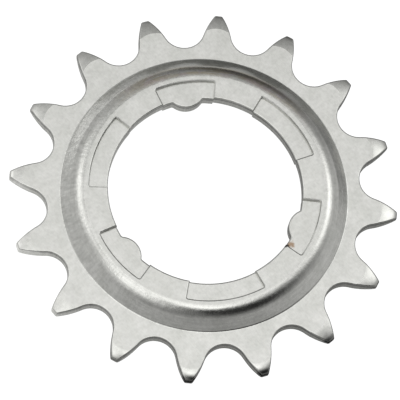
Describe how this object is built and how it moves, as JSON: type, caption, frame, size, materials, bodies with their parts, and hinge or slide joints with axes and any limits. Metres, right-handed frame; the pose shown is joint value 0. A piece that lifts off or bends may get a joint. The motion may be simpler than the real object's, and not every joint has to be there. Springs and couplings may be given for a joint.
{
  "type": "bicycle sprocket",
  "caption": "Dished one-piece steel sprocket for a bicycle hub, with relieved teeth round a raised flange and a lugged bore.",
  "frame": {"origin": "centre of the bore, on the plane of the tooth plate's back face", "axes": "+Z along the bore from the tooth plate towards the raised flange; +X through the middle of the tooth that lines up with a lug"},
  "size_m": [0.0708, 0.0708, 0.0049],
  "materials": {
    "steel": "satin, with faint rolling marks on the flat faces and pressing marks round the dish"
  },
  "bodies": {
    "root": {"sprocket": "steel"}
  },
  "joints": []
}
